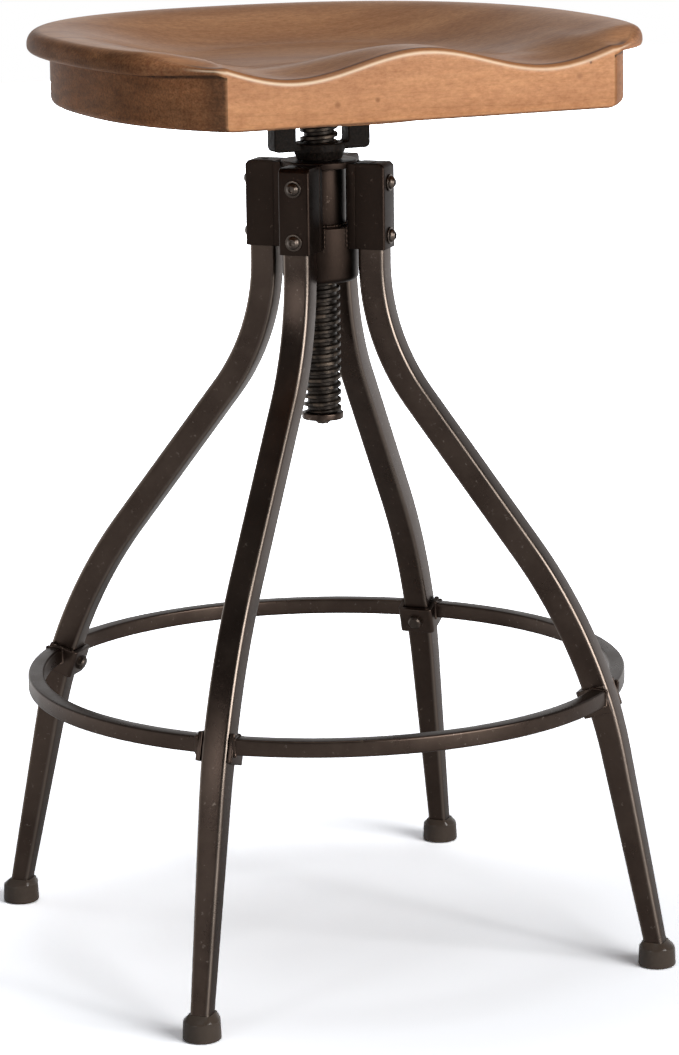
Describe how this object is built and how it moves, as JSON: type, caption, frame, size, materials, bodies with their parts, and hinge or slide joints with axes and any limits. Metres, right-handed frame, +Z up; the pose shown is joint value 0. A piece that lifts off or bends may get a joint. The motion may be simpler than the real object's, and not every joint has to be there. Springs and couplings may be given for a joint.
{
  "type": "bar stool",
  "caption": "Adjustable bar stool: carved saddle seat on a lifting screw, in a hub on bent square legs with a round foot ring.",
  "frame": {"origin": "on the floor, on the axis of the lifting screw", "axes": "+Z up; the seat's flat front faces -Y; +X is to the right for someone who looks at the front"},
  "size_m": [0.4488, 0.4488, 0.692],
  "materials": {
    "wood": "satin",
    "bronze_paint": "satin",
    "screw_steel": "satin",
    "black_iron": "satin",
    "dark_steel": "satin",
    "cap_plastic": "matte"
  },
  "bodies": {
    "base": {"hub_cap": "bronze_paint", "hub_tube": "bronze_paint", "nut_body": "bronze_paint", "socket_front_right": "bronze_paint", "socket_rear_right": "bronze_paint", "socket_rear_left": "bronze_paint", "socket_front_left": "bronze_paint", "leg_front_right": "bronze_paint", "leg_rear_right": "bronze_paint", "leg_rear_left": "bronze_paint", "leg_front_left": "bronze_paint", "socket_bolts": "dark_steel", "socket_washers": "dark_steel", "ring_right": "bronze_paint", "ring_rear": "bronze_paint", "ring_left": "bronze_paint", "ring_front": "bronze_paint", "saddle_front_right": "bronze_paint", "saddle_rear_right": "bronze_paint", "saddle_rear_left": "bronze_paint", "saddle_front_left": "bronze_paint", "ring_bolts": "dark_steel", "leg_inserts": "dark_steel", "foot_front_right": "cap_plastic", "foot_rear_right": "cap_plastic", "foot_rear_left": "cap_plastic", "foot_front_left": "cap_plastic"},
    "lift": {"stop_washer": "screw_steel"},
    "seat": {"seat": "wood", "seat_disc": "wood", "seat_screws": "dark_steel", "yoke": "black_iron", "screw": "screw_steel", "end_bolt": "dark_steel"}
  },
  "joints": [
    {"name": "seat_lift", "type": "slide", "parent": "base", "child": "lift", "axis": [0, 0, 1], "range_m": [0, 0.0988]},
    {"name": "seat_turn", "type": "hinge", "parent": "lift", "child": "seat", "pos_m": [0, 0, 0.5], "axis": [0, 0, 1], "range_deg": [0, 5922]}
  ],
  "couplings": [
    {"joint": "seat_lift", "follows": "seat_turn", "m_per_rad": 0.00095493}
  ]
}
